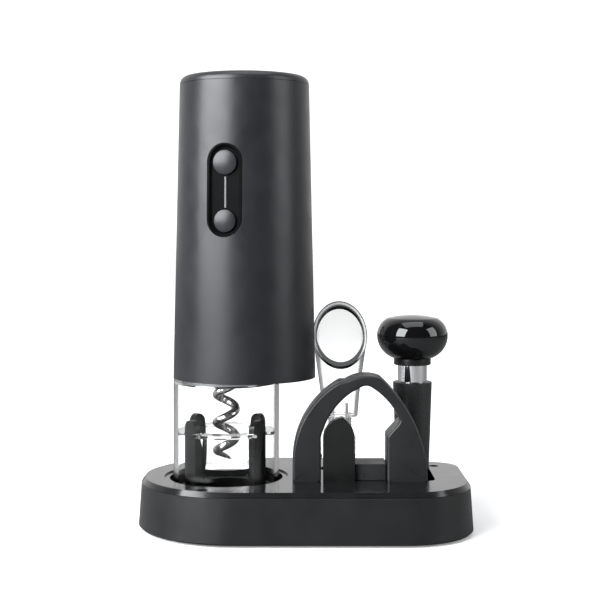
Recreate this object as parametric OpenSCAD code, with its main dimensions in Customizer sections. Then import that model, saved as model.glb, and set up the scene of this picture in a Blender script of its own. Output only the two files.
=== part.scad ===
// Electric wine opener set: a battery corkscrew, a foil cutter, a pourer and a vacuum
// stopper, kept together on a low oblong stand. Millimetres, +Z up. The origin is on the
// table under the middle of the stand, and the opener's buttons face -Y.

/* [Stand] */
// Length of the lid's flat top
lid_l = 148.6; // [147:0.2:156]
// Depth of the lid's flat top, front to back
lid_w = 87; // [87:0.1:92]
// Height of the lid's top above the table
lid_z = 23.7; // [23:0.1:25]
// Radius of the round left end
left_r = 43.3; // [42:0.1:43.4]
// Radius of the gently bowed back edge
back_r = 272; // [240:1:320]
// Radius of the front right corner
front_corner_r = 29.5; // [24:0.5:32]
// Radius of the back right corner
back_corner_r = 13; // [11:0.5:16]
// Spread of the foot beyond the lid's flat top
foot_spread = 3; // [2.6:0.1:4]
// Width of the lid's sloping edge
bevel_out = 1.6; // [1.2:0.1:2]
// Height of the lid's sloping edge
bevel_h = 2.3; // [1.8:0.1:2.6]
// Wall thickness of the tray under the lid
tray_wall = 2.4; // [2:0.1:2.8]
// Radius of the well that the opener stands in
well_r = 26.3; // [25.4:0.1:27]
// Depth of the shallow step around the well
step_d = 0.7; // [0.4:0.1:1]

/* [Opener] */
// X of the clear chamber's axis
chamber_x = -36.4; // [-37:0.1:-36]
// Y of the chamber's axis and of the housing's axis
opener_y = -3; // [-3.4:0.1:-2.6]
// Outer radius of the clear chamber
chamber_r = 24.6; // [24.4:0.1:24.8]
// Distance of the housing's axis from the chamber's axis
offset_x = 8.5; // [8:0.1:8.6]
// Height of the housing's lower edge above the table
housing_z = 69.7; // [69:0.1:70]
// Height of the housing's top above the table
top_z = 209.5; // [209:0.5:214]
// Outer radius of the housing at its lower edge
housing_r = 33.1; // [33:0.1:33.6]
// Outer radius of the housing at its top
housing_top_r = 30.1; // [30:0.1:31]
// Wall thickness of the housing
housing_wall = 2.2; // [1.8:0.1:2.3]
// Rounding of the housing's top edge
top_round = 3.5; // [3:0.1:3.5]
// Height of the parting line under the top cap
cap_z = 205.6; // [204:0.1:205.6]

/* [Buttons] */
// Turn of the button slot about the housing's axis, seen from above
panel_turn = 14.6; // [0:0.1:20]
// Width of the slot
slot_w = 16.6; // [16.4:0.1:17]
// Height of the slot's lower end
slot_z0 = 134.9; // [134:0.1:136]
// Height of the slot's upper end
slot_z1 = 176.9; // [176:0.1:178]
// Height of the upper button's centre
up_z = 168.3; // [168:0.1:169]
// Diameter of the upper button
up_d = 10.9; // [10:0.1:11.2]
// Height of the lower button's centre
down_z = 142.2; // [142:0.1:143]
// Diameter of the lower button
down_d = 10; // [9:0.1:10.8]

/* [Corkscrew] */
// Radius of the coil that the wire follows
worm_r = 4.5; // [4:0.1:4.8]
// Radius of the wire
wire_r = 2; // [1.6:0.1:2.1]
// Rise of the coil in one turn
worm_pitch = 13; // [11:0.5:15]
// Height of the point
worm_tip_z = 31; // [30:0.5:34]

/* [Gears] */
// Module of the gear teeth
gear_m = 0.5; // [0.5]
// Teeth on each sun gear
sun_teeth = 12; // [12]
// Teeth on each planet gear
planet_teeth = 18; // [18]
// Teeth inside the ring
ring_teeth = 48; // [48]
// Backlash between teeth
backlash = 0.12; // [0.1:0.01:0.2]

/* [Foil cutter] */
// Y of the foil cutter's front face
cutter_y0 = -19.2; // [-19.5:0.1:-19]
// Thickness of the foil cutter, front to back
cutter_t = 16.5; // [16:0.1:16.6]
// Radius of the four cutting wheels
wheel_r = 2.4; // [2.2:0.1:2.4]

/* [Vacuum stopper] */
// X of the stopper's axis
stopper_x = 52.2; // [52:0.1:52.6]
// Y of the stopper's axis
stopper_y = 16.5; // [16:0.1:17]
// Largest radius of the knob
knob_r = 17; // [16:0.1:17.4]
// Height of the knob's top
knob_z = 97.2; // [96.5:0.1:98]
// Radius of the chrome neck
neck_r = 7; // [6.8:0.05:7.1]
// Stroke of the pump
pump_stroke = 7.5; // [5:0.5:7.5]

/* [Pourer] */
// X of the pourer's axis
pourer_x = 17.2; // [17:0.1:17.6]
// Y of the pourer's axis
pourer_y = 14; // [13.6:0.1:14.6]
// Radius of the flared mouth
mouth_r = 13; // [12.4:0.1:13.2]
// Height of the mouth's front edge
mouth_z0 = 71.9; // [71:0.1:73]
// Height of the mouth's back edge
mouth_z1 = 103.1; // [100:0.1:104]

/* [Hidden] */
$fn = 96;
eps = 0.01;

// The stand's outline is four tangent arcs and two straight sides. Every level of the
// stand is the same outline grown or shrunk, so the arcs keep their centres.
left_x = -lid_l / 2 + left_r;
left_y = -lid_w / 2 + left_r;
back_y = lid_w / 2 - back_r;
back_x = left_x + sqrt(pow(back_r - left_r, 2) - pow(left_y - back_y, 2));
rear_x = lid_l / 2 - back_corner_r;
rear_y = back_y + sqrt(pow(back_r - back_corner_r, 2) - pow(rear_x - back_x, 2));
fore_x = lid_l / 2 - front_corner_r;
fore_y = -lid_w / 2 + front_corner_r;
seam_z = lid_z - bevel_h;
tray_z = 1;
floor_z = 3.4;
foot_r = 6.5;
FEET = [[-54, -22], [-54, 21], [54, -25], [58, 17]];
screw_hole_r = 2.3;
LID_SCREWS = [[-45.1, -37.4], [62.8, 20.2]];
well_floor_z = 13;
stopper_hole_r = 8.3;
pourer_hole_r = 9.4;

housing_x = chamber_x + offset_x;
housing_slope = (housing_r - housing_top_r) / (top_z - housing_z);
housing_floor_z = 72.6;
spigot_r = 22;
spigot_top_z = 79;
tube_in_r = 22.6;

slot_r = slot_w / 2;
slot_floor_y = -29;
bezel_back_y = -26.8;

gear_x = chamber_x;
gear_y = opener_y;
orbit_r = gear_m * (sun_teeth + planet_teeth) / 2;
gear2_z = 87;
gear1_z = 97;
gear_h = 6;
motor_z0 = 106;
motor_z1 = 144;
CELLS = [[-9, opener_y - 7.5], [-9, opener_y + 7.5]];
cell_r = 7.1;
cell_z = 96;

cutter_y1 = cutter_y0 + cutter_t;
split_y = (cutter_y0 + cutter_y1) / 2;
WHEELS = [[5.8, 34], [9.1, 54.4], [39.5, 34], [44.1, 54.5]];
CUTTER_SCREWS = [[0.4, 41], [48, 39]];

sleeve_top_z = 65.2;
sleeve_bore_r = neck_r + 0.06;

function arc(cx, cy, r, a0, a1, n) =
    [for (i = [0 : n]) let (a = a0 + (a1 - a0) * i / n) [cx + r * cos(a), cy + r * sin(a)]];

// Radius of the housing's outside at height z
function housing_at(z) = housing_r - housing_slope * (z - housing_z);

// The stand's outline grown by g.
module outline(g) {
    a0 = atan2(left_y - back_y, left_x - back_x);
    a1 = atan2(rear_y - back_y, rear_x - back_x);
    polygon(concat(
        arc(back_x, back_y, back_r + g, a1, a0, 16),
        arc(left_x, left_y, left_r + g, a0 + 5, 270, 34),
        arc(fore_x, fore_y, front_corner_r + g, -90, 0, 16),
        arc(rear_x, rear_y, back_corner_r + g, 0, a1 - 6, 11)));
}

// One level of the stand between z0 and z1, grown by g0 at the bottom and g1 at the top.
module slab(z0, z1, g0, g1) {
    hull() {
        translate([0, 0, z0]) linear_extrude(eps) outline(g0);
        translate([0, 0, z1 - eps]) linear_extrude(eps) outline(g1);
    }
}

// The frame of the button slot: the housing's axis, with the slot facing -Y.
module at_panel() {
    translate([housing_x, opener_y, 0]) rotate([0, 0, -panel_turn]) children();
}

// A bar with round ends, standing in the XZ plane from y0 to y1.
module stadium(x, z0, z1, r, y0, y1) {
    for (z = [z0 + r, z1 - r])
        translate([x, y0, z]) rotate([-90, 0, 0]) cylinder(h = y1 - y0, r = r);
    translate([x - r, y0, z0 + r]) cube([2 * r, y1 - y0, z1 - z0 - 2 * r]);
}

// The same bar with sloping sides: radius r0 at y0 and r1 at y1, about the same centres.
module stadium_cone(x, za, zb, r0, r1, y0, y1) {
    for (z = [za, zb])
        translate([x, y0, z]) rotate([-90, 0, 0]) cylinder(h = y1 - y0, r1 = r0, r2 = r1);
    translate([x, 0, za])
        linear_extrude(zb - za)
        polygon([[-r0, y0], [r0, y0], [r1, y1], [-r1, y1]]);
}

// A straight-toothed outside gear with trapezoid teeth, one tooth on +X.
module gear(teeth, h, bore) {
    r = gear_m * teeth / 2;
    tip = r + 0.85 * gear_m;
    root = r - 1.15 * gear_m;
    pitch = 360 / teeth;
    half = pitch / 4 - backlash / 2 / r * 57.3;
    difference() {
        linear_extrude(h)
            polygon([for (i = [0 : teeth - 1])
                     for (p = [[root, -1.75], [r, -1], [tip, -0.5],
                               [tip, 0.5], [r, 1], [root, 1.75]])
                     let (a = i * pitch + p[1] * half) [p[0] * cos(a), p[0] * sin(a)]]);
        translate([0, 0, -1]) cylinder(h = h + 2, r = bore);
    }
}

module planet(i, z) {
    a = 120 * i;
    translate([gear_x + orbit_r * cos(a), gear_y + orbit_r * sin(a), z])
        rotate([0, 0, a + 180 / planet_teeth])
        gear(planet_teeth, gear_h, 1.55);
}

// A carrier: a plate, three pins for the planets and a shaft, stacked from z up.
module carrier(z) {
    translate([gear_x, gear_y, z]) cylinder(h = 2.6, r = 10.6);
    for (a = [0, 120, 240])
        translate([gear_x + orbit_r * cos(a), gear_y + orbit_r * sin(a), z + 1])
            cylinder(h = 8, r = 1.5);
}

// A pan or round headed screw that points down, with a cross recess; z is under the head.
module screw(x, y, z, head_r, head_h, shank_r, len) {
    difference() {
        translate([x, y, z - len]) {
            cylinder(h = len + eps, r = shank_r);
            translate([0, 0, len]) cylinder(h = head_h, r = head_r);
        }
        for (a = [0, 90])
            translate([x, y, z + head_h])
                rotate([0, 0, a])
                cube([1.5 * head_r, 0.3 * head_r, 1.1 * head_h], center = true);
    }
}

// ---- Stand ----

module base_tray() {
    color("dimgray") difference() {
        union() {
            slab(tray_z, tray_z + 0.9, foot_spread - 0.9, foot_spread);
            slab(tray_z + 0.9, seam_z - 0.3, foot_spread, bevel_out + 0.1);
            slab(seam_z - 0.3, seam_z, bevel_out + 0.1, bevel_out - 0.3);
        }
        difference() {
            slab(floor_z, lid_z, foot_spread - tray_wall, foot_spread - tray_wall - 1.5);
            for (p = LID_SCREWS)
                translate([p[0], p[1], tray_z]) cylinder(h = seam_z - 2.6 - tray_z, r = 3.4);
        }
        for (p = LID_SCREWS)
            translate([p[0], p[1], 5]) cylinder(h = lid_z, r = 1.3);
        translate([stopper_x, stopper_y, 5]) cylinder(h = lid_z, r = stopper_hole_r + 1.2);
        for (p = FEET)
            translate([p[0], p[1], -eps]) cylinder(h = 1.6 + eps, r = foot_r + 0.1);
    }
}

module base_lid() {
    color("dimgray") difference() {
        union() {
            slab(seam_z, lid_z, bevel_out, 0);
            difference() {
                translate([0, 0, seam_z - 2.2]) linear_extrude(2.2 + eps) outline(-1.5);
                translate([0, 0, seam_z - 3]) linear_extrude(3) outline(-3.3);
                for (p = LID_SCREWS)
                    translate([p[0], p[1], 0]) cylinder(h = seam_z, r = 4.4);
                translate([stopper_x, stopper_y, 0]) cylinder(h = seam_z, r = 10.6);
            }
            difference() {
                for (p = LID_SCREWS)
                    translate([p[0], p[1], seam_z - 2.4]) cylinder(h = 2.4 + eps, r = 2.9);
                translate([stopper_x, stopper_y, 0]) cylinder(h = seam_z, r = 9.3);
            }
        }
        translate([chamber_x, opener_y, 0]) cylinder(h = 50, r = well_r);
        translate([chamber_x, opener_y, lid_z - step_d]) cylinder(h = 5, r = well_r + 2.5);
        translate([pourer_x, pourer_y, 0]) cylinder(h = 50, r = pourer_hole_r);
        translate([stopper_x, stopper_y, 0]) cylinder(h = 50, r = stopper_hole_r);
        finger_pocket(0, 50, 0);
        for (p = LID_SCREWS) {
            translate([p[0], p[1], 0]) cylinder(h = 50, r = 1.6);
            translate([p[0], p[1], seam_z - 1.2]) cylinder(h = 5, r = screw_hole_r);
        }
        translate([8.6, -19.15, seam_z - 1]) cube([14.3, 4.9, 5]);
        translate([24, -15.6, seam_z - 1]) cube([12.5, 14, 5]);
    }
}

// The pocket beside the foil cutter's right foot, with round corners.
module finger_pocket(z0, z1, grow) {
    translate([0, 0, z0]) {
        for (x = [50 + 4, 60 - 4])
            translate([x, -17 + 4, 0]) cylinder(h = z1 - z0, r = 4 + grow);
        translate([54, -17 - grow, 0]) cube([2, 20, z1 - z0]);
        translate([50 - grow, -13, 0]) cube([10 + 2 * grow, 25, z1 - z0]);
    }
}

module rubber_feet() {
    color("black")
        for (p = FEET)
            translate([p[0], p[1], 0]) {
                cylinder(h = 0.6, r1 = foot_r - 0.5, r2 = foot_r);
                translate([0, 0, 0.6]) cylinder(h = 1, r = foot_r);
            }
}

module lid_screws() {
    color("silver")
        for (p = LID_SCREWS)
            screw(p[0], p[1], seam_z - 1.2, 1.9, 1.3, 1.25, 13);
}

module opener_cup() {
    color("black") difference() {
        translate([chamber_x, opener_y, well_floor_z - 1.6])
            cylinder(h = seam_z - well_floor_z + 1.6, r = well_r + 1.6);
        translate([chamber_x, opener_y, well_floor_z]) cylinder(h = 50, r = well_r);
    }
}

module tool_tray() {
    color("black") difference() {
        union() {
            translate([stopper_x, stopper_y, 5.6])
                cylinder(h = seam_z - 5.6, r = stopper_hole_r + 0.9);
            finger_pocket(12.4, seam_z, 1.1);
        }
        translate([stopper_x, stopper_y, 7]) cylinder(h = 50, r = stopper_hole_r);
        finger_pocket(13.6, 50, 0);
    }
}

module pourer_socket() {
    color("black") difference() {
        translate([pourer_x, pourer_y, 5.6])
            cylinder(h = seam_z - 5.6, r = pourer_hole_r + 1.1);
        translate([pourer_x, pourer_y, 7]) cylinder(h = 50, r = pourer_hole_r);
    }
}

// The plate with a pointed arch that the foil cutter hangs around.
module rest_post() {
    color("black") translate([0, -14.2, 0]) rotate([90, 0, 0]) {
        linear_extrude(5) {
            intersection() {
                translate([8.5 + 10.3, 42.7]) circle(r = 10.3);
                translate([23 - 12, 42.7]) circle(r = 12);
                translate([8, 42.7]) square([16, 12]);
            }
            translate([8.5, lid_z]) square([14.5, 42.7 - lid_z + eps]);
        }
        translate([0, 0, 0.1]) linear_extrude(4.8)
            translate([8.7, seam_z]) square([14.1, 2.5]);
    }
}

// The grippy block beside it that the bottom of the foil cutter closes on.
module rest_block() {
    color("black") {
        translate([23, -16.6, lid_z]) cube([14.4, 16.1, 31.3 - lid_z]);
        translate([24.1, -15.5, seam_z]) cube([12.3, 13.8, lid_z - seam_z + eps]);
    }
}

// ---- Opener: shell and controls ----

module housing_shell() {
    h = cap_z - housing_z;
    color("dimgray") difference() {
        translate([housing_x, opener_y, housing_z])
            cylinder(h = h, r1 = housing_r, r2 = housing_at(cap_z));
        translate([housing_x, opener_y, housing_floor_z])
            cylinder(h = h, r1 = housing_at(housing_floor_z) - housing_wall,
                     r2 = housing_at(housing_floor_z + h) - housing_wall);
        translate([chamber_x, opener_y, housing_z - 1]) cylinder(h = 10, r = spigot_r + 0.1);
        at_panel() stadium(0, slot_z0, slot_z1, slot_r, -45, -20);
    }
}

// The cap that closes the battery compartment, rounded at its top edge.
module top_cap() {
    r = housing_at(cap_z + 0.1);
    rt = housing_top_r;
    color("dimgray") translate([housing_x, opener_y, 0]) difference() {
        union() {
            translate([0, 0, cap_z + 0.1])
                cylinder(h = top_z - top_round - cap_z - 0.1, r1 = r, r2 = rt);
            rotate_extrude() polygon(concat([[0, top_z - top_round - 0.02]],
                arc(rt - top_round, top_z - top_round, top_round, 0, 90, 12),
                [[0, top_z]]));
            translate([0, 0, cap_z - 4])
                cylinder(h = 5, r = housing_at(cap_z) - housing_wall - 0.35);
        }
        translate([0, 0, cap_z - 5])
            cylinder(h = top_z - cap_z + 2.6, r = housing_at(cap_z) - housing_wall - 2.4);
    }
}

module switch_bezel() {
    za = slot_z0 + slot_r;
    zb = slot_z1 - slot_r;
    r = slot_r - 0.05;
    color("black") at_panel() difference() {
        intersection() {
            stadium(0, slot_z0 + 0.05, slot_z1 - 0.05, r, -40, bezel_back_y);
            translate([0, 0, slot_z0 - 10])
                cylinder(h = slot_z1 - slot_z0 + 20, r1 = housing_at(slot_z0 - 10),
                         r2 = housing_at(slot_z1 + 10));
        }
        stadium_cone(0, za, zb, r + 0.6, r - 2, -32.2, slot_floor_y);
        for (b = [[up_z, up_d], [down_z, down_d]])
            translate([0, -40, b[0]]) rotate([-90, 0, 0]) cylinder(h = 20, d = b[1] + 0.5);
        translate([-0.45, -33, down_z + 5.85]) cube([0.9, 10, 13.9]);
    }
}

// A round push button with a domed face and a flange behind the panel.
module button(z, d) {
    dome = 0.9;
    sphere_r = (d * d / 4 + dome * dome) / (2 * dome);
    at_panel() translate([0, 0, z]) rotate([-90, 0, 0]) {
        translate([0, 0, -30.2]) cylinder(h = 3.6, d = d);
        intersection() {
            translate([0, 0, -30.2 - dome + sphere_r]) sphere(r = sphere_r, $fn = 96);
            translate([0, 0, -31.5]) cylinder(h = 1.4, d = d);
        }
        translate([0, 0, -26.7]) cylinder(h = 0.8, d = d + 1.4);
        translate([0, 0, -26]) cylinder(h = 0.9, r = 1.6);
    }
}

module up_button() {
    color("dimgray") button(up_z, up_d);
}

module down_button() {
    color("dimgray") button(down_z, down_d);
}

module light_pipe() {
    color("white") at_panel() {
        translate([-0.4, slot_floor_y - 0.25, down_z + 5.9]) cube([0.8, 2.6, 13.8]);
        translate([-1.2, bezel_back_y + 0.1, down_z + 6.9]) cube([2.4, 1.6, 11]);
    }
}

module control_board() {
    color("darkgreen") at_panel() {
        translate([-9, -23, slot_z0 - 4]) cube([18, 1.6, slot_z1 - slot_z0 + 8]);
        translate([-5, -21.4, 150]) cube([8, 1.6, 8]);
        translate([-1, -24, down_z + 8]) cube([2, 1, 2]);
        translate([-1, -24, down_z + 14]) cube([2, 1, 2]);
    }
}

// Momentary switches behind the two buttons.
module tact_switches() {
    color("silver") at_panel()
        for (z = [up_z, down_z]) {
            translate([-3, -23.8, z - 3]) cube([6, 0.8, 6]);
            translate([0, -24, z]) rotate([-90, 0, 0]) cylinder(h = 0.3, r = 1.6);
        }
}

// ---- Opener: power ----

module battery_cells() {
    color("goldenrod")
        for (p = CELLS, z = [cell_z, cell_z + 50.5])
            translate([p[0], p[1], z]) {
                cylinder(h = 49, r = cell_r);
                translate([0, 0, 49]) cylinder(h = 1.4, r = 2.6);
            }
}

module battery_tray() {
    color("black") difference() {
        union() {
            for (p = CELLS)
                translate([p[0], p[1], cell_z - 3.6]) cylinder(h = 16, r = cell_r + 0.9);
            translate([-17.8, opener_y - 14, cell_z - 3.6]) cube([1.7, 28, 103]);
            translate([-17.8, opener_y - 0.2, cell_z - 3.6]) cube([8, 0.4, 103]);
        }
        for (p = CELLS)
            translate([p[0], p[1], cell_z - 1.2]) cylinder(h = 120, r = cell_r + 0.15);
    }
}

module battery_contacts() {
    color("silver") {
        for (p = CELLS)
            translate([p[0], p[1], cell_z - 1.1]) cylinder(h = 0.9, r = 5);
        translate([-9 - 4, opener_y - 12, cell_z + 101.2]) cube([8, 24, 0.6]);
    }
}

// The frame that carries the gearbox and the motor, standing on the housing's floor.
module chassis_frame() {
    color("dimgray") difference() {
        union() {
            intersection() {
                translate([gear_x, gear_y, 79.2]) cylinder(h = 2.6, r = 27);
                translate([housing_x, opener_y, 79.2]) cylinder(h = 2.6, r = 30);
            }
            translate([gear_x, gear_y, 81.8]) cylinder(h = 26, r = 18.4);
            for (a = [-36, 36])
                translate([gear_x + 25.6 * cos(a), gear_y + 25.6 * sin(a), housing_floor_z])
                    cylinder(h = 7, r = 3);
        }
        translate([gear_x, gear_y, housing_floor_z]) cylinder(h = 50, r = 9.3);
        translate([gear_x, gear_y, 82.5]) cylinder(h = 50, r = 16.2);
        for (a = [45, 135, 225, 315])
            translate([gear_x + 17.3 * cos(a), gear_y + 17.3 * sin(a), housing_floor_z])
                cylinder(h = 60, r = 0.8);
    }
}

module chassis_screws() {
    color("silver")
        for (a = [45, 135, 225, 315])
            screw(gear_x + 17.3 * cos(a), gear_y + 17.3 * sin(a), housing_floor_z + 35.2,
                  1.6, 1.2, 0.75, 8);
}

// ---- Opener: motor and gears ----

module motor_can() {
    color("silver") translate([gear_x, gear_y, motor_z0]) difference() {
        union() {
            cylinder(h = motor_z1 - motor_z0, r = 13.85);
            translate([0, 0, motor_z1 - motor_z0]) cylinder(h = 2.4, r = 5);
        }
        translate([0, 0, 1.2]) cylinder(h = motor_z1 - motor_z0 - 3.2, r = 12.8);
        translate([0, 0, -1]) cylinder(h = 50, r = 1.55);
        translate([0, 0, -1]) cylinder(h = 2.3, r = 4);
    }
}

module motor_magnets() {
    color("gray")
        translate([gear_x, gear_y, motor_z0 + 5])
            for (a = [0, 180])
                rotate([0, 0, a]) intersection() {
                    difference() {
                        cylinder(h = 24, r = 12.7);
                        translate([0, 0, -1]) cylinder(h = 26, r = 10.9);
                    }
                    translate([-20, 4, -1]) cube([40, 20, 26]);
                }
}

// The turning part of the motor: shaft, three-pole core and commutator.
module motor_armature() {
    color("saddlebrown") translate([gear_x, gear_y, 0]) {
        translate([0, 0, gear1_z]) cylinder(h = motor_z1 + 3.6 - gear1_z, r = 1.5);
        translate([0, 0, motor_z0 + 7])
            for (a = [0, 120, 240])
                rotate([0, 0, a]) {
                    translate([0, -1.6, 0]) cube([8, 3.2, 20]);
                    intersection() {
                        cylinder(h = 20, r = 10.3);
                        translate([6.6, -7, 0]) cube([6, 14, 20]);
                    }
                }
        translate([0, 0, motor_z0 + 5]) cylinder(h = 27, r = 3.4);
    }
}

module sun_pinion() {
    color("goldenrod")
        translate([gear_x, gear_y, gear1_z]) gear(sun_teeth, gear_h, 1.5);
}

// The fixed case: an inside ring of teeth that serves both stages, and a top plate.
module gearbox_case() {
    r = gear_m * ring_teeth / 2;
    pitch = 360 / ring_teeth;
    half = pitch / 4 - backlash / 2 / r * 57.3;
    color("silver") translate([gear_x, gear_y, 0]) {
        difference() {
            translate([0, 0, 82.6]) cylinder(h = motor_z0 - 82.6, r = 16);
            translate([0, 0, 83.6]) cylinder(h = 3, r = 13.6);
            translate([0, 0, 86.4]) linear_extrude(17.4)
                polygon([for (i = [0 : ring_teeth - 1])
                         for (p = [[r - 0.85 * gear_m, 0.5], [r, 1],
                                   [r + 1.15 * gear_m, 1.7],
                                   [r + 1.15 * gear_m, 6.3 - 4 * backlash],
                                   [r, 7 - 4 * backlash], [r - 0.85 * gear_m, 7.5 - 4 * backlash]])
                         let (a = (i + p[1] / 8) * pitch)
                         [p[0] * cos(a), p[0] * sin(a)]]);
            translate([0, 0, 80]) cylinder(h = 10, r = 6.2);
            translate([0, 0, 100]) cylinder(h = 10, r = 4.2);
        }
    }
}

// First-stage carrier, with the second stage's sun gear underneath.
module carrier_1() {
    color("silver") {
        carrier(94);
        translate([gear_x, gear_y, gear2_z]) gear(sun_teeth, 7.2, 0.8);
    }
}

module planet_1a() {
    color("white") planet(0, gear1_z);
}

module planet_1b() {
    color("white") planet(1, gear1_z);
}

module planet_1c() {
    color("white") planet(2, gear1_z);
}

// Second-stage carrier, with the output shaft and the corkscrew's hub underneath.
module carrier_2() {
    color("silver") {
        carrier(84);
        translate([gear_x, gear_y, 74]) cylinder(h = 10.2, r = 4);
        translate([gear_x, gear_y, 67.4]) cylinder(h = 7, r = 7.6);
    }
}

module planet_2a() {
    color("white") planet(0, gear2_z);
}

module planet_2b() {
    color("white") planet(1, gear2_z);
}

module planet_2c() {
    color("white") planet(2, gear2_z);
}

module output_bush() {
    color("goldenrod") translate([gear_x, gear_y, 0]) difference() {
        union() {
            translate([0, 0, 76.4]) cylinder(h = 6.2, r = 9.2);
            translate([0, 0, 82.4]) cylinder(h = 1.1, r = 6.1);
        }
        translate([0, 0, 70]) cylinder(h = 20, r = 4.06);
    }
}

// The screw: round wire swept along a helix, drawn out to a point at its lower end.
module worm() {
    turns = (67.6 - worm_tip_z) / worm_pitch;
    n = 66;
    m = 14;
    lead = worm_pitch / 360;
    run = worm_r * 3.14159265 / 180;
    len = sqrt(run * run + lead * lead);
    rings = [for (i = [0 : n]) let (
        t = i / n,
        a = 360 * turns * t + 60,
        z = worm_tip_z + (67.6 - worm_tip_z) * t,
        w = wire_r * (t < 0.16 ? 0.04 + 0.96 * sqrt(t / 0.16) : 1),
        nx = cos(a), ny = sin(a),
        bx = lead / len * sin(a), by = -lead / len * cos(a), bz = run / len)
        [for (j = [0 : m - 1]) let (c = w * cos(360 * j / m), s = w * sin(360 * j / m))
            [(worm_r + c) * nx + s * bx, (worm_r + c) * ny + s * by, z + s * bz]]];
    pts = [for (ring = rings) for (p = ring) p];
    sides = [for (i = [0 : n - 1]) for (j = [0 : m - 1])
        let (k = (j + 1) % m)
        [i * m + j, i * m + k, (i + 1) * m + k, (i + 1) * m + j]];
    color("silver") translate([chamber_x, opener_y, 0])
        polyhedron(points = pts, faces = concat(sides,
            [[for (j = [m - 1 : -1 : 0]) j]],
            [[for (j = [0 : m - 1]) n * m + j]]));
}

// ---- Opener: clear chamber ----

module chamber_tube() {
    color("lightgray", 0.4) translate([chamber_x, opener_y, 0]) difference() {
        union() {
            translate([0, 0, well_floor_z])
                cylinder(h = housing_z - 0.15 - well_floor_z, r = chamber_r);
            translate([0, 0, housing_z - 1]) cylinder(h = spigot_top_z - housing_z + 1, r = spigot_r);
        }
        translate([0, 0, well_floor_z - 1])
            cylinder(h = housing_z - 2.6 - well_floor_z + 1, r = tube_in_r);
        translate([0, 0, housing_z - 4]) cylinder(h = 30, r = 20.9);
    }
}

module chamber_ring() {
    color("silver") translate([chamber_x, opener_y, 66.5]) difference() {
        cylinder(h = 6, r = 20.8);
        translate([0, 0, -1]) cylinder(h = 3.2, r = 18.8);
        translate([0, 0, -1]) cylinder(h = 8, r = 9.4);
    }
}

// The clear sleeve that centres the bottle's neck, hung from a ledge inside the chamber.
module neck_guide() {
    color("lightgray", 0.5) translate([chamber_x, opener_y, 0]) difference() {
        union() {
            translate([0, 0, 43.8]) cylinder(h = 1.5, r = tube_in_r - 0.05);
            translate([0, 0, 34]) cylinder(h = 10, r = 17);
            translate([0, 0, 29]) cylinder(h = 5, r1 = 16, r2 = 17);
        }
        translate([0, 0, 20]) cylinder(h = 40, r = 15.3);
        for (a = [38, 142, 218, 322])
            rotate([0, 0, a]) translate([16.4, -4.6, 40]) cube([10, 9.2, 10]);
    }
}

module guide_prongs() {
    color("black") translate([chamber_x, opener_y, 0]) {
        difference() {
            translate([0, 0, 14]) cylinder(h = 5, r = tube_in_r - 0.05);
            translate([0, 0, 10]) cylinder(h = 20, r = 17.6);
        }
        intersection() {
            difference() {
                translate([0, 0, 14]) cylinder(h = 37, r = 20.4);
                translate([0, 0, 10]) cylinder(h = 60, r = 17.6);
            }
            for (a = [38, 142, 218, 322])
                rotate([0, 0, a]) translate([14, 0, 0]) rotate([90, 0, 90])
                    linear_extrude(10) union() {
                        translate([-4.2, 10]) square([8.4, 36.8]);
                        translate([0, 46.8]) circle(r = 4.2);
                    }
        }
    }
}

// ---- Foil cutter ----

// The cutter's outside: an unequal pointed arch, taller on its left shoulder.
module cutter_outline() {
    intersection() {
        translate([37.2, 32]) circle(r = 42.6, $fn = 180);
        translate([-6.1, lid_z]) circle(r = 62.3, $fn = 180);
        union() {
            translate([28.4, 53.8]) circle(r = 18);
            translate([-10, 30]) square([80, 39]);
        }
        translate([-10, 32]) square([80, 50]);
    }
    intersection() {
        translate([-5.4, lid_z]) square([80, 8.4]);
        translate([-6.1, lid_z]) circle(r = 62.3, $fn = 180);
    }
}

// The opening that a bottle's neck goes through, open at the bottom, with a nick on the
// right where the springy leg bends.
module cutter_opening() {
    intersection() {
        translate([41.2, 35.7]) circle(r = 34.6);
        translate([13, 38]) circle(r = 33.5);
        union() {
            translate([28.9, 60.3]) circle(r = 7);
            polygon([[0, 42.5], [36.1, 42.5], [46, 53.4], [46, 65], [0, 65]]);
        }
    }
    translate([7.6, 0]) square([30.1, 44.4]);
}

module cutter_half(y0, y1) {
    difference() {
        translate([0, y1, 0]) rotate([90, 0, 0]) linear_extrude(y1 - y0) difference() {
            cutter_outline();
            cutter_opening();
        }
        for (w = WHEELS) {
            translate([w[0], split_y - 0.6, w[1]])
                rotate([-90, 0, 0]) cylinder(h = 1.2, r = wheel_r + 0.25);
            translate([w[0], split_y - 5, w[1]])
                rotate([-90, 0, 0]) cylinder(h = 10, r = 0.6);
        }
        for (p = CUTTER_SCREWS) {
            translate([p[0], cutter_y1 - 2.2, p[1]])
                rotate([-90, 0, 0]) cylinder(h = 5, r = 2.3);
            translate([p[0], split_y - 5, p[1]])
                rotate([-90, 0, 0]) cylinder(h = 20, r = 1);
        }
    }
}

module cutter_front_shell() {
    color("black") cutter_half(cutter_y0, split_y);
}

module cutter_back_shell() {
    color("black") cutter_half(split_y, cutter_y1);
}

module cutter_wheel(i) {
    translate([WHEELS[i][0], split_y - 0.3, WHEELS[i][1]]) rotate([-90, 0, 0]) difference() {
        union() {
            cylinder(h = 0.3, r1 = wheel_r - 0.3, r2 = wheel_r);
            translate([0, 0, 0.3]) cylinder(h = 0.3, r1 = wheel_r, r2 = wheel_r - 0.3);
        }
        translate([0, 0, -1]) cylinder(h = 3, r = 0.62);
    }
}

module cutter_wheel_1() {
    color("silver") cutter_wheel(0);
}

module cutter_wheel_2() {
    color("silver") cutter_wheel(1);
}

module cutter_wheel_3() {
    color("silver") cutter_wheel(2);
}

module cutter_wheel_4() {
    color("silver") cutter_wheel(3);
}

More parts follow.
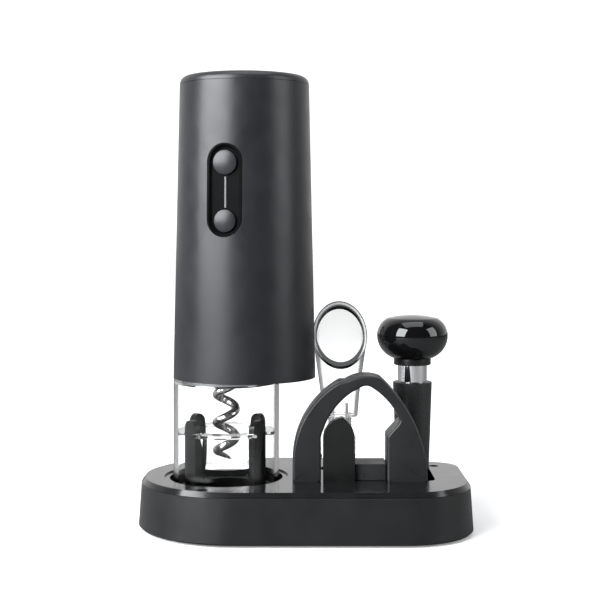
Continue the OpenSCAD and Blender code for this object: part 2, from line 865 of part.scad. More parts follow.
module wheel_pins() {
    color("silver")
        for (w = WHEELS)
            translate([w[0], split_y - 4.6, w[1]]) rotate([-90, 0, 0]) cylinder(h = 9.2, r = 0.58);
}

module cutter_screws() {
    color("silver")
        for (p = CUTTER_SCREWS)
            translate([p[0], 0, p[1]]) rotate([-90, 0, 0])
                screw(0, 0, cutter_y1 - 2.2, 1.9, 1.3, 0.95, 9);
}

// ---- Pourer ----

// The flared tube's outer radius at heights up to the mouth.
POURER = [[26, 7.4], [40, 7.7], [60.3, 9.4], [75.7, 11.5], [86, mouth_r], [110, mouth_r]];

// A solid of revolution with the pourer's outline, grown by g.
module pourer_body(g) {
    translate([pourer_x, pourer_y, 0])
        rotate_extrude()
        polygon(concat([[0, 26]], [for (p = POURER) [p[1] + g, p[0]]], [[0, 110]]));
}

// Everything under the slanted plane of the mouth, lowered by d.
module under_mouth(d) {
    translate([pourer_x - 30, 0, 0]) rotate([90, 0, 90]) linear_extrude(60)
        polygon([[pourer_y - 40, 0], [pourer_y + 40, 0],
                 [pourer_y + 40, mouth_z(40) - d], [pourer_y - 40, mouth_z(-40) - d]]);
}

function mouth_z(dy) =
    (mouth_z0 + mouth_z1) / 2 + dy * (mouth_z1 - mouth_z0) / (2 * mouth_r);

module pourer_spout() {
    color("lightgray", 0.4) difference() {
        intersection() {
            pourer_body(0);
            under_mouth(1.5);
        }
        difference() {
            pourer_body(-1.6);
            translate([pourer_x, pourer_y, 0]) cylinder(h = 49, r = 20);
        }
        translate([pourer_x, pourer_y, 20]) cylinder(h = 60, r = 4.1);
    }
}

module pourer_rim() {
    color("dimgray") difference() {
        intersection() {
            pourer_body(0.15);
            under_mouth(0);
        }
        under_mouth(1.5);
        pourer_body(-1.75);
    }
}

module pourer_tube() {
    color("lightgray") translate([pourer_x, pourer_y, 9]) difference() {
        union() {
            cylinder(h = 46, r = 4);
            translate([0, 0, 40.05]) cylinder(h = 1.2, r = 6.4);
        }
        translate([0, 0, -1]) cylinder(h = 60, r = 2.8);
    }
}

module pourer_plug() {
    color("black") translate([pourer_x, pourer_y, 0]) difference() {
        union() {
            translate([0, 0, 8]) cylinder(h = 18, r1 = 6.4, r2 = 7.3);
            for (z = [11, 15, 19])
                translate([0, 0, z]) cylinder(h = 1.2, r = 8.3);
        }
        translate([0, 0, 7]) cylinder(h = 30, r = 4.05);
    }
}

// ---- Vacuum stopper ----

module stopper_knob() {
    waist_z = knob_z - 9.85;
    dome_r = 50;
    color("black") translate([stopper_x, stopper_y, 0]) difference() {
        rotate_extrude() polygon(concat(
            [[0, waist_z - 10.9], [9.1, waist_z - 10.9]],
            [for (t = [72 : -8 : 0])
                [knob_r - 11.57 * (1 - cos(t)), waist_z - 11.4 * sin(t)]],
            [for (t = [8 : 8 : 64])
                [knob_r - 8 * (1 - cos(t)), waist_z + 9 * sin(t)]],
            [for (r = [12, 10, 8, 6, 4, 2, 0])
                [r, knob_z - dome_r + sqrt(dome_r * dome_r - r * r)]]));
        translate([0, 0, 70]) cylinder(h = 14, r = neck_r - 1);
    }
}

module stopper_collar() {
    color("dimgray") translate([stopper_x, stopper_y, 73.4]) difference() {
        cylinder(h = 3, r = 8.9);
        translate([0, 0, -1]) cylinder(h = 5, r = neck_r - 0.9);
    }
}

module stopper_neck() {
    color("silver") translate([stopper_x, stopper_y, 0]) {
        translate([0, 0, 54]) cylinder(h = 19.4, r = neck_r);
        translate([0, 0, 73]) cylinder(h = 10.8, r = neck_r - 1.05);
        translate([0, 0, 44]) cylinder(h = 10.4, r = 3);
    }
}

module stopper_sleeve() {
    color("black") translate([stopper_x, stopper_y, 0]) difference() {
        union() {
            translate([0, 0, lid_z])
                cylinder(h = sleeve_top_z - lid_z, r1 = 7.9, r2 = 9.4);
            translate([0, 0, 8]) cylinder(h = lid_z - 8, r1 = 7.2, r2 = 7.9);
        }
        translate([0, 0, 33.5]) cylinder(h = 60, r = sleeve_bore_r);
        translate([0, 0, 7]) cylinder(h = 40, r = 1.6);
    }
}

// The return spring in the sleeve: wire swept along a helix, with flat turns at the ends.
module pump_spring() {
    n = 84;
    m = 8;
    coil_r = 5.2;
    wire = 0.45;
    turns = 5.25;
    rings = [for (i = [0 : n]) let (
        t = i / n,
        a = 360 * turns * t,
        s = min(max((t - 0.12) / 0.76, 0), 1),
        z = 34.1 + wire + (19.8 - 2 * wire) * s)
        [for (j = [0 : m - 1]) let (c = wire * cos(360 * j / m), d = wire * sin(360 * j / m))
            [(coil_r + c) * cos(a), (coil_r + c) * sin(a), z + d]]];
    pts = [for (ring = rings) for (p = ring) p];
    sides = [for (i = [0 : n - 1]) for (j = [0 : m - 1])
        let (k = (j + 1) % m)
        [i * m + j, i * m + k, (i + 1) * m + k, (i + 1) * m + j]];
    color("silver") translate([stopper_x, stopper_y, 0])
        polyhedron(points = pts, faces = concat(sides,
            [[for (j = [m - 1 : -1 : 0]) j]],
            [[for (j = [0 : m - 1]) n * m + j]]));
}

base_tray();
base_lid();
rubber_feet();
lid_screws();
opener_cup();
tool_tray();
pourer_socket();
rest_post();
rest_block();
housing_shell();
top_cap();
switch_bezel();
up_button();
down_button();
light_pipe();
control_board();
tact_switches();
battery_cells();
battery_tray();
battery_contacts();
chassis_frame();
chassis_screws();
motor_can();
motor_magnets();
motor_armature();
sun_pinion();
gearbox_case();
carrier_1();
planet_1a();
planet_1b();
planet_1c();
carrier_2();
planet_2a();
planet_2b();
planet_2c();
output_bush();
worm();
chamber_tube();
chamber_ring();
neck_guide();
guide_prongs();
cutter_front_shell();
cutter_back_shell();
cutter_wheel_1();
cutter_wheel_2();
cutter_wheel_3();
cutter_wheel_4();
wheel_pins();
cutter_screws();
pourer_spout();
pourer_rim();
pourer_tube();
pourer_plug();
stopper_knob();
stopper_collar();
stopper_neck();
stopper_sleeve();
pump_spring();
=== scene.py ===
"""Looks for the electric wine opener set: materials, light, camera and the finer pieces.
Lengths and places are in millimetres where a name ends in _mm or MM scales them."""
import math

import bmesh
import bpy
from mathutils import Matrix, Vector


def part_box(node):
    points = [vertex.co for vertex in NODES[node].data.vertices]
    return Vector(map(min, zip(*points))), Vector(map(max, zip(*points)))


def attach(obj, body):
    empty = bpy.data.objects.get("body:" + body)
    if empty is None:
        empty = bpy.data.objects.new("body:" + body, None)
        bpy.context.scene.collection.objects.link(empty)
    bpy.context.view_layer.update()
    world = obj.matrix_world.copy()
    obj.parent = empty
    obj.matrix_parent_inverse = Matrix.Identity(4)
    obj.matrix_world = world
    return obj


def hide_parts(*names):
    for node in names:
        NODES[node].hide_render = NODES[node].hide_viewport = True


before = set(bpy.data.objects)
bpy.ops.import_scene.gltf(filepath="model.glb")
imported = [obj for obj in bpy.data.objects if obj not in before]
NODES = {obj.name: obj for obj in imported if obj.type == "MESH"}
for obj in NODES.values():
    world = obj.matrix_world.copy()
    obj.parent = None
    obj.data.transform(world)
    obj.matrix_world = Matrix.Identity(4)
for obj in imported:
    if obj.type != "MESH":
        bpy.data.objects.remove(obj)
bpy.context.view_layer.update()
MM = 0.001


# ---------------------------------------------------------------- shader parts

def new_material(name):
    m = bpy.data.materials.new(name)
    m.use_nodes = True
    m.node_tree.nodes.clear()
    out = m.node_tree.nodes.new("ShaderNodeOutputMaterial")
    bsdf = m.node_tree.nodes.new("ShaderNodeBsdfPrincipled")
    m.node_tree.links.new(bsdf.outputs["BSDF"], out.inputs["Surface"])
    return m, m.node_tree, bsdf


def coords(nt, scale=None):
    tc = nt.nodes.new("ShaderNodeTexCoord")
    if scale is None:
        return tc.outputs["Object"]
    mp = nt.nodes.new("ShaderNodeMapping")
    mp.inputs["Scale"].default_value = scale
    nt.links.new(tc.outputs["Object"], mp.inputs["Vector"])
    return mp.outputs["Vector"]


def noise(nt, scale, detail=2.0, rough=0.5, vector=None):
    n = nt.nodes.new("ShaderNodeTexNoise")
    n.inputs["Scale"].default_value = scale
    n.inputs["Detail"].default_value = detail
    n.inputs["Roughness"].default_value = rough
    nt.links.new(vector or coords(nt), n.inputs["Vector"])
    return n.outputs["Fac"]


def ramp(nt, fac, stops):
    """Colours a value by stops, each a position and an (r, g, b) colour."""
    r = nt.nodes.new("ShaderNodeValToRGB")
    els = r.color_ramp.elements
    while len(els) < len(stops):
        els.new(0.5)
    for e, (pos, col) in zip(els, stops):
        e.position = pos
        e.color = (*col, 1)
    nt.links.new(fac, r.inputs["Fac"])
    return r.outputs["Color"]


def remap(nt, value, source, target):
    """Maps one range of numbers onto another and stops at its ends."""
    m = nt.nodes.new("ShaderNodeMapRange")
    m.inputs["From Min"].default_value, m.inputs["From Max"].default_value = source
    m.inputs["To Min"].default_value, m.inputs["To Max"].default_value = target
    nt.links.new(value, m.inputs["Value"])
    return m.outputs["Result"]


def spread(nt, fac, low, high):
    """Maps a noise, which stays mostly between 0.3 and 0.7, onto low to high."""
    return remap(nt, fac, (0.3, 0.7), (low, high))


def calc(nt, operation, first, second):
    """A math node on two values, each a number or another node's output."""
    n = nt.nodes.new("ShaderNodeMath")
    n.operation = operation
    for socket, value in zip(n.inputs, (first, second)):
        if isinstance(value, float):
            socket.default_value = value
        else:
            nt.links.new(value, socket)
    return n.outputs[0]


def length(nt, vector):
    n = nt.nodes.new("ShaderNodeVectorMath")
    n.operation = "LENGTH"
    nt.links.new(vector, n.inputs[0])
    return n.outputs["Value"]


def bump(nt, height, strength, distance):
    b = nt.nodes.new("ShaderNodeBump")
    b.inputs["Strength"].default_value = strength
    b.inputs["Distance"].default_value = distance
    nt.links.new(height, b.inputs["Height"])
    return b.outputs["Normal"]


# ---------------------------------------------------------------- kinds of material

def moulded(name, dark, light, rough, grain=2600.0, relief=0.25, depth=0.02, ior=1.44):
    """Moulded plastic: a fine spark-eroded grain, slow colour drift, and handling sheen."""
    m, nt, b = new_material(name)
    b.inputs["IOR"].default_value = ior
    drift = noise(nt, 45.0, 3.0)
    nt.links.new(ramp(nt, drift, [(0.3, dark), (0.7, light)]), b.inputs["Base Color"])
    nt.links.new(spread(nt, noise(nt, 90.0, 4.0), rough - 0.04, rough + 0.04),
                 b.inputs["Roughness"])
    nt.links.new(bump(nt, noise(nt, grain, 2.0, 0.6), relief, depth * MM), b.inputs["Normal"])
    return m


def gloss(name, colour, rough):
    """Polished plastic: very slight flow waves, faint dust-fine variation in the polish."""
    m, nt, b = new_material(name)
    b.inputs["IOR"].default_value = 1.52
    nt.links.new(ramp(nt, noise(nt, 30.0, 2.0), [(0.3, [c * 0.85 for c in colour]),
                                                 (0.7, [c * 1.15 for c in colour])]),
                 b.inputs["Base Color"])
    nt.links.new(spread(nt, noise(nt, 400.0, 3.0), rough * 0.6, rough * 1.4),
                 b.inputs["Roughness"])
    nt.links.new(bump(nt, noise(nt, 60.0, 1.0), 0.1, 0.03 * MM), b.inputs["Normal"])
    return m


def pebbled(name, dark, light, rough, cell=1700.0, relief=0.6, depth=0.09):
    """Rubber or coarse-grained plastic: small rounded pebbles, with painted shade darkening the
    valleys between them.
    """
    m, nt, b = new_material(name)
    v = nt.nodes.new("ShaderNodeTexVoronoi")
    v.feature = "SMOOTH_F1"
    v.inputs["Scale"].default_value = cell
    v.inputs["Smoothness"].default_value = 0.5
    nt.links.new(coords(nt), v.inputs["Vector"])
    # Painted shade: light at each pebble's middle, dark in the valleys where shade falls.
    nt.links.new(ramp(nt, v.outputs["Distance"], [(0.1, light), (0.75, dark)]),
                 b.inputs["Base Color"])
    nt.links.new(spread(nt, noise(nt, 120.0, 3.0), rough - 0.05, rough + 0.05),
                 b.inputs["Roughness"])
    height = calc(nt, "SUBTRACT", 1.0, v.outputs["Distance"])
    nt.links.new(bump(nt, height, relief, depth * MM), b.inputs["Normal"])
    return m


def metal(name, colour, rough, brush=None):
    """Metal: brushing along one axis if brush gives the stretch, else a fine polish haze."""
    m, nt, b = new_material(name)
    b.inputs["Metallic"].default_value = 1.0
    line = noise(nt, 900.0 if brush else 300.0, 3.0, 0.6, coords(nt, brush))
    nt.links.new(ramp(nt, line, [(0.3, [c * 0.9 for c in colour]), (0.7, colour)]),
                 b.inputs["Base Color"])
    nt.links.new(spread(nt, line, rough * 0.7, rough * 1.3), b.inputs["Roughness"])
    nt.links.new(bump(nt, line, 0.15, 0.01 * MM), b.inputs["Normal"])
    return m


def clear(name, stops, mouth=1.0, rough=0.01, ior=1.36):
    """Clear moulded plastic. Stops paint shade into it towards where it is seen edge on, in
    place of the dark edges that refraction gives, and mouth tints what stands above about 75 mm.
    Faint flow lines and haze keep it from looking perfect."""
    m, nt, b = new_material(name)
    b.inputs["Transmission Weight"].default_value = 1.0
    b.inputs["IOR"].default_value = ior
    # Painted edge shade: the stops darken the base colour where the surface is seen edge on.
    lw = nt.nodes.new("ShaderNodeLayerWeight")
    lw.inputs["Blend"].default_value = 0.5
    shade = ramp(nt, lw.outputs["Facing"], [(p, (c,) * 3) for p, c in stops])
    sep = nt.nodes.new("ShaderNodeSeparateXYZ")
    nt.links.new(coords(nt), sep.inputs[0])
    high = remap(nt, sep.outputs["Z"], (73 * MM, 78 * MM), (1.0, mouth))
    flow = ramp(nt, noise(nt, 20.0, 2.0), [(0.3, (0.985, 0.985, 0.985)), (0.7, (1, 1, 1))])
    for factor in (high, flow):
        mix = nt.nodes.new("ShaderNodeMix")
        mix.data_type = "RGBA"
        mix.blend_type = "MULTIPLY"
        mix.inputs[0].default_value = 1.0
        nt.links.new(shade, mix.inputs[6])
        nt.links.new(factor, mix.inputs[7])
        shade = mix.outputs[2]
    nt.links.new(shade, b.inputs["Base Color"])
    nt.links.new(spread(nt, noise(nt, 60.0, 4.0), rough * 0.3, rough * 2.0),
                 b.inputs["Roughness"])
    nt.links.new(bump(nt, noise(nt, 25.0, 1.0), 0.03, 0.05 * MM), b.inputs["Normal"])
    return m


def painted_reflection_bands(name, axis_mm, rings):
    """Polished rim with painted reflection and shade as grey bands, each a distance in mm from
    an upright axis and a grey.
    """
    m, nt, b = new_material(name)
    move = nt.nodes.new("ShaderNodeMapping")
    move.inputs["Location"].default_value = (-axis_mm[0] * MM, -axis_mm[1] * MM, 0)
    nt.links.new(coords(nt), move.inputs["Vector"])
    flat = nt.nodes.new("ShaderNodeVectorMath")
    flat.operation = "MULTIPLY"
    flat.inputs[1].default_value = (1, 1, 0)
    nt.links.new(move.outputs["Vector"], flat.inputs[0])
    first, last = rings[0][0], rings[-1][0]
    span = remap(nt, length(nt, flat.outputs["Vector"]), (first * MM, last * MM), (0.0, 1.0))
    # Painted reflection and shade: the bands of grey are put into the base colour.
    band = ramp(nt, span, [((r - first) / (last - first), (v,) * 3) for r, v in rings])
    nt.links.new(band, b.inputs["Base Color"])
    nt.links.new(spread(nt, noise(nt, 300.0, 3.0), 0.1, 0.2), b.inputs["Roughness"])
    nt.links.new(bump(nt, noise(nt, 60.0, 1.0), 0.08, 0.03 * MM), b.inputs["Normal"])
    return m


# ---------------------------------------------------------------- materials

# Pourer rim: the light band is a painted reflection, the dark bands are painted edge shade.
RIM_PAINTED_BANDS = painted_reflection_bands("rim_painted_reflection_bands", (17.2, 14.0),
             ((11.0, 0.008), (11.75, 0.008), (11.95, 0.7), (12.6, 0.8), (12.75, 0.01),
              (13.5, 0.01)))
HOUSING = moulded("housing_plastic", (0.0115, 0.0115, 0.0135), (0.0155, 0.0155, 0.018), 0.36,
                  grain=3200.0, relief=0.22)
STAND = moulded("stand_plastic", (0.006, 0.006, 0.0065), (0.009, 0.009, 0.0095), 0.36,
                grain=3000.0)
LID = moulded("lid_plastic", (0.006, 0.006, 0.0065), (0.009, 0.009, 0.0095), 0.15,
              grain=3000.0, relief=0.2, depth=0.015)
CUTTER = moulded("cutter_plastic", (0.0075, 0.0075, 0.0085), (0.012, 0.012, 0.0135), 0.44,
                 grain=1900.0, relief=0.55, depth=0.05)
BLACK = moulded("black_plastic", (0.004, 0.004, 0.004), (0.007, 0.007, 0.007), 0.34)
SMOOTH = moulded("post_plastic", (0.004, 0.004, 0.004), (0.007, 0.007, 0.007), 0.30,
                 relief=0.12, depth=0.015)
KNOB = gloss("knob_plastic", (0.004, 0.004, 0.0045), 0.04)
PANEL = moulded("panel_plastic", (0.0025, 0.0025, 0.003), (0.005, 0.005, 0.005), 0.5,
                relief=0.12, ior=1.1)
RUBBER = pebbled("rubber", (0.006, 0.006, 0.0065), (0.018, 0.018, 0.019), 0.5)
SLEEVE = pebbled("sleeve_rubber", (0.005, 0.005, 0.0055), (0.016, 0.016, 0.017), 0.42,
                 cell=1300.0, relief=0.8, depth=0.12)
CHROME = metal("chrome", (0.86, 0.86, 0.87), 0.05)
STEEL = metal("steel", (0.62, 0.61, 0.60), 0.22, brush=(1, 1, 0.1))
WORM = metal("worm_steel", (0.62, 0.61, 0.60), 0.20)
BRASS = metal("brass", (0.75, 0.55, 0.25), 0.25)
# The clear plastics' stops are painted edge shade, darkest where a wall is seen edge on.
CHAMBER = clear("clear_plastic", ((0.0, 1.0), (0.7, 0.97), (0.9, 0.55), (1.0, 0.05)), ior=1.2)
GUIDE = clear("guide_plastic", ((0.0, 0.99), (0.5, 0.95), (0.8, 0.4), (1.0, 0.05)), ior=1.4)
POURER = clear("pourer_plastic", ((0.0, 1.0), (0.5, 0.96), (0.8, 0.35), (1.0, 0.03)),
               mouth=0.76, rough=0.02)
RING = metal("ring_chrome", (0.42, 0.42, 0.43), 0.10)
WHITE = moulded("white_nylon", (0.75, 0.75, 0.72), (0.82, 0.82, 0.80), 0.4)
PIPE = moulded("light_window", (0.07, 0.072, 0.075), (0.10, 0.102, 0.105), 0.3)
BOARD = moulded("board", (0.02, 0.11, 0.05), (0.03, 0.15, 0.07), 0.4)
WRAP = moulded("cell_wrap", (0.35, 0.20, 0.04), (0.45, 0.26, 0.05), 0.3)
COPPER = metal("copper", (0.75, 0.38, 0.22), 0.3)

# What isn't listed is a steel cutting wheel or a white nylon planet gear.
LOOK = {
    "base_tray": STAND, "base_lid": LID, "rubber_feet": RUBBER, "lid_screws": STEEL,
    "opener_cup": BLACK, "tool_tray": BLACK, "pourer_socket": BLACK, "rest_post": SMOOTH,
    "rest_block": RUBBER, "housing_shell": HOUSING, "top_cap": HOUSING,
    "switch_bezel": PANEL, "up_button": HOUSING, "down_button": HOUSING, "light_pipe": PIPE,
    "control_board": BOARD, "tact_switches": STEEL, "battery_cells": WRAP,
    "battery_tray": BLACK, "battery_contacts": STEEL, "chassis_frame": BLACK,
    "chassis_screws": STEEL, "motor_can": STEEL, "motor_magnets": STEEL,
    "motor_armature": COPPER, "sun_pinion": BRASS, "gearbox_case": STEEL,
    "carrier_1": STEEL, "carrier_2": STEEL, "output_bush": BRASS, "worm": WORM,
    "chamber_tube": CHAMBER, "chamber_ring": RING, "neck_guide": GUIDE,
    "guide_prongs": BLACK, "cutter_front_shell": CUTTER, "cutter_back_shell": CUTTER,
    "wheel_pins": STEEL, "cutter_screws": STEEL, "pourer_spout": POURER,
    "pourer_rim": RIM_PAINTED_BANDS, "pourer_tube": POURER, "pourer_plug": RUBBER,
    "stopper_knob": KNOB, "stopper_collar": SMOOTH, "stopper_neck": CHROME,
    "stopper_sleeve": SLEEVE, "pump_spring": STEEL,
}
for name, obj in NODES.items():
    obj.data.materials.clear()
    obj.data.materials.append(
        LOOK.get(name) or (WHITE if name.startswith("planet") else STEEL))


# ---------------------------------------------------------------- edges of CAD nodes

def soften(node, width_mm):
    """Welds a CAD node's facets together and rounds its hard edges."""
    o = NODES[node]
    for p in o.data.polygons:
        p.use_smooth = True
    w = o.modifiers.new("weld", "WELD")
    w.merge_threshold = 0.002 * MM
    b = o.modifiers.new("round", "BEVEL")
    b.limit_method = "ANGLE"
    b.angle_limit = math.radians(28)
    b.width = width_mm * MM
    b.segments = 3
    b.use_clamp_overlap = True
    b.harden_normals = False
    n = o.modifiers.new("normals", "WEIGHTED_NORMAL")
    n.keep_sharp = False
    n.weight = 50


for node, width_mm in (("base_tray", 0.35), ("base_lid", 0.35), ("rest_post", 0.4),
                       ("rest_block", 0.5), ("housing_shell", 0.1), ("top_cap", 0.1),
                       ("switch_bezel", 0.15), ("cutter_back_shell", 0.5),
                       ("stopper_collar", 0.25), ("stopper_sleeve", 0.3),
                       ("guide_prongs", 0.6), ("chamber_tube", 0.15), ("neck_guide", 0.4),
                       ("chamber_ring", 0.4), ("up_button", 0.25), ("down_button", 0.25),
                       ("stopper_neck", 0.15), ("pourer_rim", 0.15), ("pourer_plug", 0.2),
                       ("opener_cup", 0.2)):
    soften(node, width_mm)


# ---------------------------------------------------------------- finer pieces

def add_object(name, data):
    o = bpy.data.objects.new(name, data)
    bpy.context.scene.collection.objects.link(o)
    return o


def mesh_object(name, bm):
    """Puts a bmesh into the scene as an object, and frees it."""
    me = bpy.data.meshes.new(name)
    bm.to_mesh(me)
    bm.free()
    return add_object(name, me)


def box_mm(node):
    low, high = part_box(node)
    return [v / MM for v in low], [v / MM for v in high]


def lathe(name, axis, profile, steps=160):
    """A closed round solid in mm from a list of (radius, height) points, bottom to top."""
    bm = bmesh.new()
    turns = [2 * math.pi * i / steps for i in range(steps)]
    rows = []
    for r, z in profile:
        if r < 1e-6:
            rows.append([bm.verts.new(Vector((axis[0], axis[1], z)) * MM)])
        else:
            rows.append([bm.verts.new(Vector((axis[0] + r * math.cos(t),
                                              axis[1] + r * math.sin(t), z)) * MM)
                         for t in turns])
    for low, high in zip(rows, rows[1:]):
        for i in range(steps):
            j = (i + 1) % steps
            corners = [low[i % len(low)], low[j % len(low)], high[j % len(high)],
                       high[i % len(high)]]
            face = list(dict.fromkeys(corners))
            if len(face) > 2:
                bm.faces.new(face).smooth = True
    bmesh.ops.recalc_face_normals(bm, faces=bm.faces)
    return mesh_object(name, bm)


def knob():
    """The stopper's knob: a flared skirt, a rounded shoulder and a shallow domed top."""
    low, high = box_mm("stopper_knob")
    x, y = (low[0] + high[0]) / 2, (low[1] + high[1]) / 2
    r, top = (high[0] - low[0]) / 2, high[2]
    widest_z = top - 9.85
    foot_r, dome_r = 9.1, 50.0
    skirt_w, skirt_h = 11.57, 11.4
    shoulder_w, shoulder_h = 8, 9

    def ellipse(width, height, degrees):
        """A point on a quarter ellipse that sets off upright from the widest place."""
        t = math.radians(degrees)
        return r - width * (1 - math.cos(t)), widest_z + height * math.sin(t)

    pts = [(0, low[2]), (foot_r, low[2])]
    pts += [ellipse(skirt_w, -skirt_h, t) for t in range(70, -1, -2)]
    pts += [ellipse(shoulder_w, shoulder_h, t) for t in range(2, 63, 2)]
    pts += [(q, top - dome_r + math.sqrt(dome_r * dome_r - q * q))
            for q in (12.2, 11.4, 10, 8, 6, 4, 2, 0)]
    o = lathe("knob_round", (x, y), pts)
    o.data.materials.append(KNOB)
    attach(o, "pump_head")
    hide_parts("stopper_knob")


knob()


# The foil cutter's outline in mm, as part.scad draws it. Circles are centre x, centre z, radius.
LEFT_ARC = (37.2, 32, 42.6)
RIGHT_ARC_X, RIGHT_ARC_R = -6.1, 62.3
APEX_ARC, APEX_FROM = (28.4, 53.8, 18), 69
LEG_IN = (7.6, 37.7)
LEG_TOP = 44.4
OPENING_ARCS = ((41.2, 35.7, 34.6), (13, 38, 33.5))
CROWN_ARC, CROWN_FROM = (28.9, 60.3, 7), 65
NICK = ((36.1, 42.5), (46, 53.4))
HUB = (26.0, 42.0)


def in_circle(x, z, cx, cz, r):
    return (x - cx) ** 2 + (z - cz) ** 2 < r * r


def arch_point(angle, inside):
    """Where a region ends in one direction from the hub, found by halving."""
    near, far = 0.0, 90.0
    for _ in range(40):
        mid = (near + far) / 2
        p = (HUB[0] + mid * math.cos(angle), HUB[1] + mid * math.sin(angle))
        near, far = (mid, far) if inside(*p) else (near, mid)
    return HUB[0] + near * math.cos(angle), HUB[1] + near * math.sin(angle)


def relax(path, passes, fixed_below):
    """Rounds a path's corners by averaging each point with its neighbours, except low ones."""
    for _ in range(passes):
        path = [path[0]] + [
            p if p[1] < fixed_below
            else ((a[0] + 2 * p[0] + b[0]) / 4, (a[1] + 2 * p[1] + b[1]) / 4)
            for a, p, b in zip(path, path[1:], path[2:])] + [path[-1]]
    return path


def cutter_paths(left, foot):
    """The cutter's outer and inner outlines, each from the right foot round to the left one."""
    def outer(x, z):
        if z < foot or not in_circle(x, z, RIGHT_ARC_X, foot, RIGHT_ARC_R) or x < left:
            return False
        if z > LEFT_ARC[1] and not in_circle(x, z, *LEFT_ARC):
            return False
        return z < APEX_FROM or in_circle(x, z, *APEX_ARC)

    def inner(x, z):
        if z < foot:
            return False
        if LEG_IN[0] < x < LEG_IN[1] and z < LEG_TOP:
            return True
        (x0, z0), (x1, z1) = NICK
        return (z > z0 and z - z0 > (x - x0) * (z1 - z0) / (x1 - x0)
                and all(in_circle(x, z, *arc) for arc in OPENING_ARCS)
                and (z < CROWN_FROM or in_circle(x, z, *CROWN_ARC)))

    start = math.atan2(foot - HUB[1], LEG_IN[1] - HUB[0])
    end = math.atan2(foot - HUB[1], LEG_IN[0] - HUB[0]) + 2 * math.pi
    count = 420
    angles = [start + (end - start) * i / count for i in range(1, count)]
    fixed = foot + 3
    return (relax([arch_point(a, outer) for a in angles], 30, fixed),
            relax([arch_point(a, inner) for a in angles], 25, fixed))


def outline_normals(loop):
    """Which way is inwards at each point of a closed outline."""
    normals = []
    for i in range(len(loop)):
        a, b = loop[i - 2], loop[(i + 2) % len(loop)]
        t = Vector((b[0] - a[0], b[1] - a[1]))
        t = t.normalized() if t.length > 1e-9 else Vector((1, 0))
        normals.append((-t.y, t.x))
    return normals


def front_half():
    """The foil cutter's front half: an arch with softly rounded edges and notch corners."""
    low, high = box_mm("cutter_front_shell")
    foot, front, back = low[2], low[1], high[1]
    out, inn = cutter_paths(low[0], foot)
    loop = out + inn[::-1]
    n, half = len(loop), len(out)
    normals = outline_normals(loop)
    edge, back_edge = 1.1, 0.25
    levels = [(front + edge * (1 - math.sin(math.radians(t))),
               edge * (1 - math.cos(math.radians(t)))) for t in (90, 67, 45, 22, 0)]
    levels += [(back - 0.3, 0.0), (back, back_edge)]
    feet = ((low[0], LEG_IN[0]), (LEG_IN[1], max(p[0] for p in out)))
    between_feet = 20
    bm = bmesh.new()
    rings = []
    for y, inset in levels:
        ring = []
        for p, q in zip(loop, normals):
            if p[1] < foot + 0.02:
                left, right = feet[p[0] > between_feet]
                x, z = min(max(p[0], left + inset), right - inset), foot
            else:
                x, z = p[0] + q[0] * inset, max(foot, p[1] + q[1] * inset)
            ring.append(bm.verts.new(Vector((x, y, z)) * MM))
        rings.append(ring)
    for near, far in zip(rings, rings[1:]):
        for i in range(n):
            j = (i + 1) % n
            bm.faces.new((near[i], near[j], far[j], far[i])).smooth = True
    for ring in (rings[0], rings[-1]):
        for i in range(half - 1):
            bm.faces.new((ring[i], ring[i + 1], ring[n - 2 - i], ring[n - 1 - i]))
    bmesh.ops.recalc_face_normals(bm, faces=bm.faces)
    o = mesh_object("cutter_front_round", bm)
    w = o.modifiers.new("normals", "WEIGHTED_NORMAL")
    w.weight = 50
    o.data.materials.append(CUTTER)
    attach(o, "foil_cutter")
    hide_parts("cutter_front_shell")


front_half()


# ---------------------------------------------------------------- stage, light, camera

def straight(nt):
    """1 for what is seen directly or through clear plastic, 0 once anything has reflected it."""
    path = nt.nodes.new("ShaderNodeLightPath")
    bounces = calc(nt, "ADD", path.outputs["Diffuse Depth"], path.outputs["Glossy Depth"])
    return calc(nt, "LESS_THAN", bounces, 0.5)


def floor():
    """White paper under the object. It is darker in reflections than to the camera, so that
    the black plastic stays black, and it glows more further out, so that it has no horizon."""
    bm = bmesh.new()
    sides, radius = 96, 9.0
    turns = [2 * math.pi * i / sides for i in range(sides)]
    bm.faces.new([bm.verts.new((radius * math.cos(t), radius * math.sin(t), 0)) for t in turns])
    o = mesh_object("floor", bm)
    m, nt, b = new_material("floor_paper")
    b.inputs["Roughness"].default_value = 0.8
    b.inputs["Specular IOR Level"].default_value = 0.1
    seen = straight(nt)
    glow = remap(nt, length(nt, coords(nt)), (0.12, 0.60), (0.22, 0.76))
    nt.links.new(ramp(nt, seen, [(0.0, (0.24, 0.24, 0.24)), (1.0, (0.8, 0.8, 0.8))]),
                 b.inputs["Base Color"])
    b.inputs["Emission Color"].default_value = (1, 1, 1, 1)
    nt.links.new(calc(nt, "MULTIPLY", glow, seen), b.inputs["Emission Strength"])
    o.data.materials.append(m)


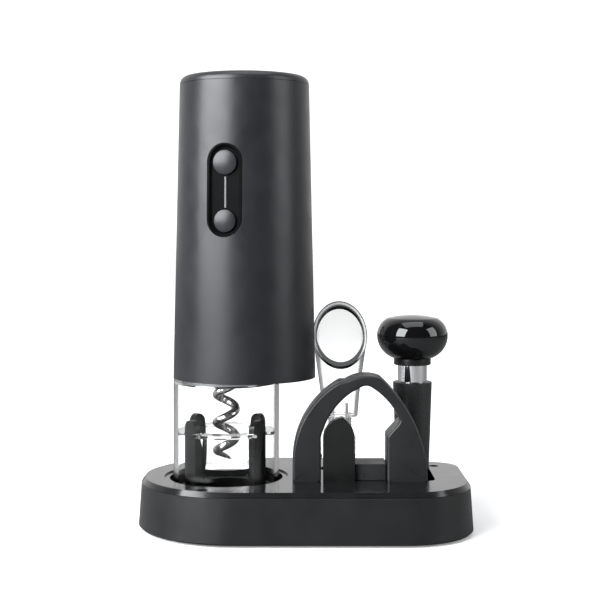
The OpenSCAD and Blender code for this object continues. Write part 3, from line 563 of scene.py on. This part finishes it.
def studio():
    """A room that is dark at the front and light at the back, and plain white to the camera."""
    world = bpy.data.worlds.new("studio")
    bpy.context.scene.world = world
    world.use_nodes = True
    nt = world.node_tree
    nt.nodes.clear()
    out = nt.nodes.new("ShaderNodeOutputWorld")
    tc = nt.nodes.new("ShaderNodeTexCoord")
    sep = nt.nodes.new("ShaderNodeSeparateXYZ")
    nt.links.new(tc.outputs["Generated"], sep.inputs[0])
    room = nt.nodes.new("ShaderNodeBackground")
    nt.links.new(remap(nt, sep.outputs["Y"], (-0.15, 0.75), (0.01, 1.3)),
                 room.inputs["Strength"])
    backdrop = nt.nodes.new("ShaderNodeBackground")
    backdrop.inputs["Color"].default_value = (1, 1, 1, 1)
    backdrop.inputs["Strength"].default_value = 1.3
    mix = nt.nodes.new("ShaderNodeMixShader")
    path = nt.nodes.new("ShaderNodeLightPath")
    nt.links.new(path.outputs["Is Camera Ray"], mix.inputs[0])
    nt.links.new(room.outputs[0], mix.inputs[1])
    nt.links.new(backdrop.outputs[0], mix.inputs[2])
    nt.links.new(mix.outputs[0], out.inputs["Surface"])


def area(name, azimuth, elevation, distance, size, power):
    """An area light aimed at the middle of the object. Azimuth 0 is the camera's side, and a
    positive one is to its right."""
    light = bpy.data.lights.new(name, "AREA")
    light.shape = "RECTANGLE"
    light.size, light.size_y = size
    light.energy = power
    light.color = (0.955, 0.985, 1.0)
    o = add_object(name, light)
    a, e = math.radians(azimuth), math.radians(elevation)
    middle = Vector((0, 0, 0.11))
    o.location = middle + distance * Vector((math.sin(a) * math.cos(e),
                                             -math.cos(a) * math.cos(e), math.sin(e)))
    o.rotation_mode = "QUATERNION"
    o.rotation_quaternion = (o.location - middle).to_track_quat("Z", "Y")


def camera():
    """A level camera straight in front, shifted down as the photograph's framing is."""
    data = bpy.data.cameras.new("camera")
    cam = add_object("camera", data)
    data.sensor_width = 36
    data.lens = 76.8
    data.shift_y = -0.115
    data.clip_start = 0.02
    data.clip_end = 50
    cam.location = (-0.002, -0.601, 0.1377)
    cam.rotation_euler = (math.radians(90), 0, 0)
    bpy.context.scene.camera = cam


floor()
studio()
area("key", -52, 24, 1.0, (0.95, 0.8), 34)
area("fill", 70, 20, 1.15, (0.55, 0.8), 6)
area("top", 10, 80, 1.0, (0.9, 0.7), 5)
camera()
bpy.context.scene.view_settings.view_transform = "Standard"
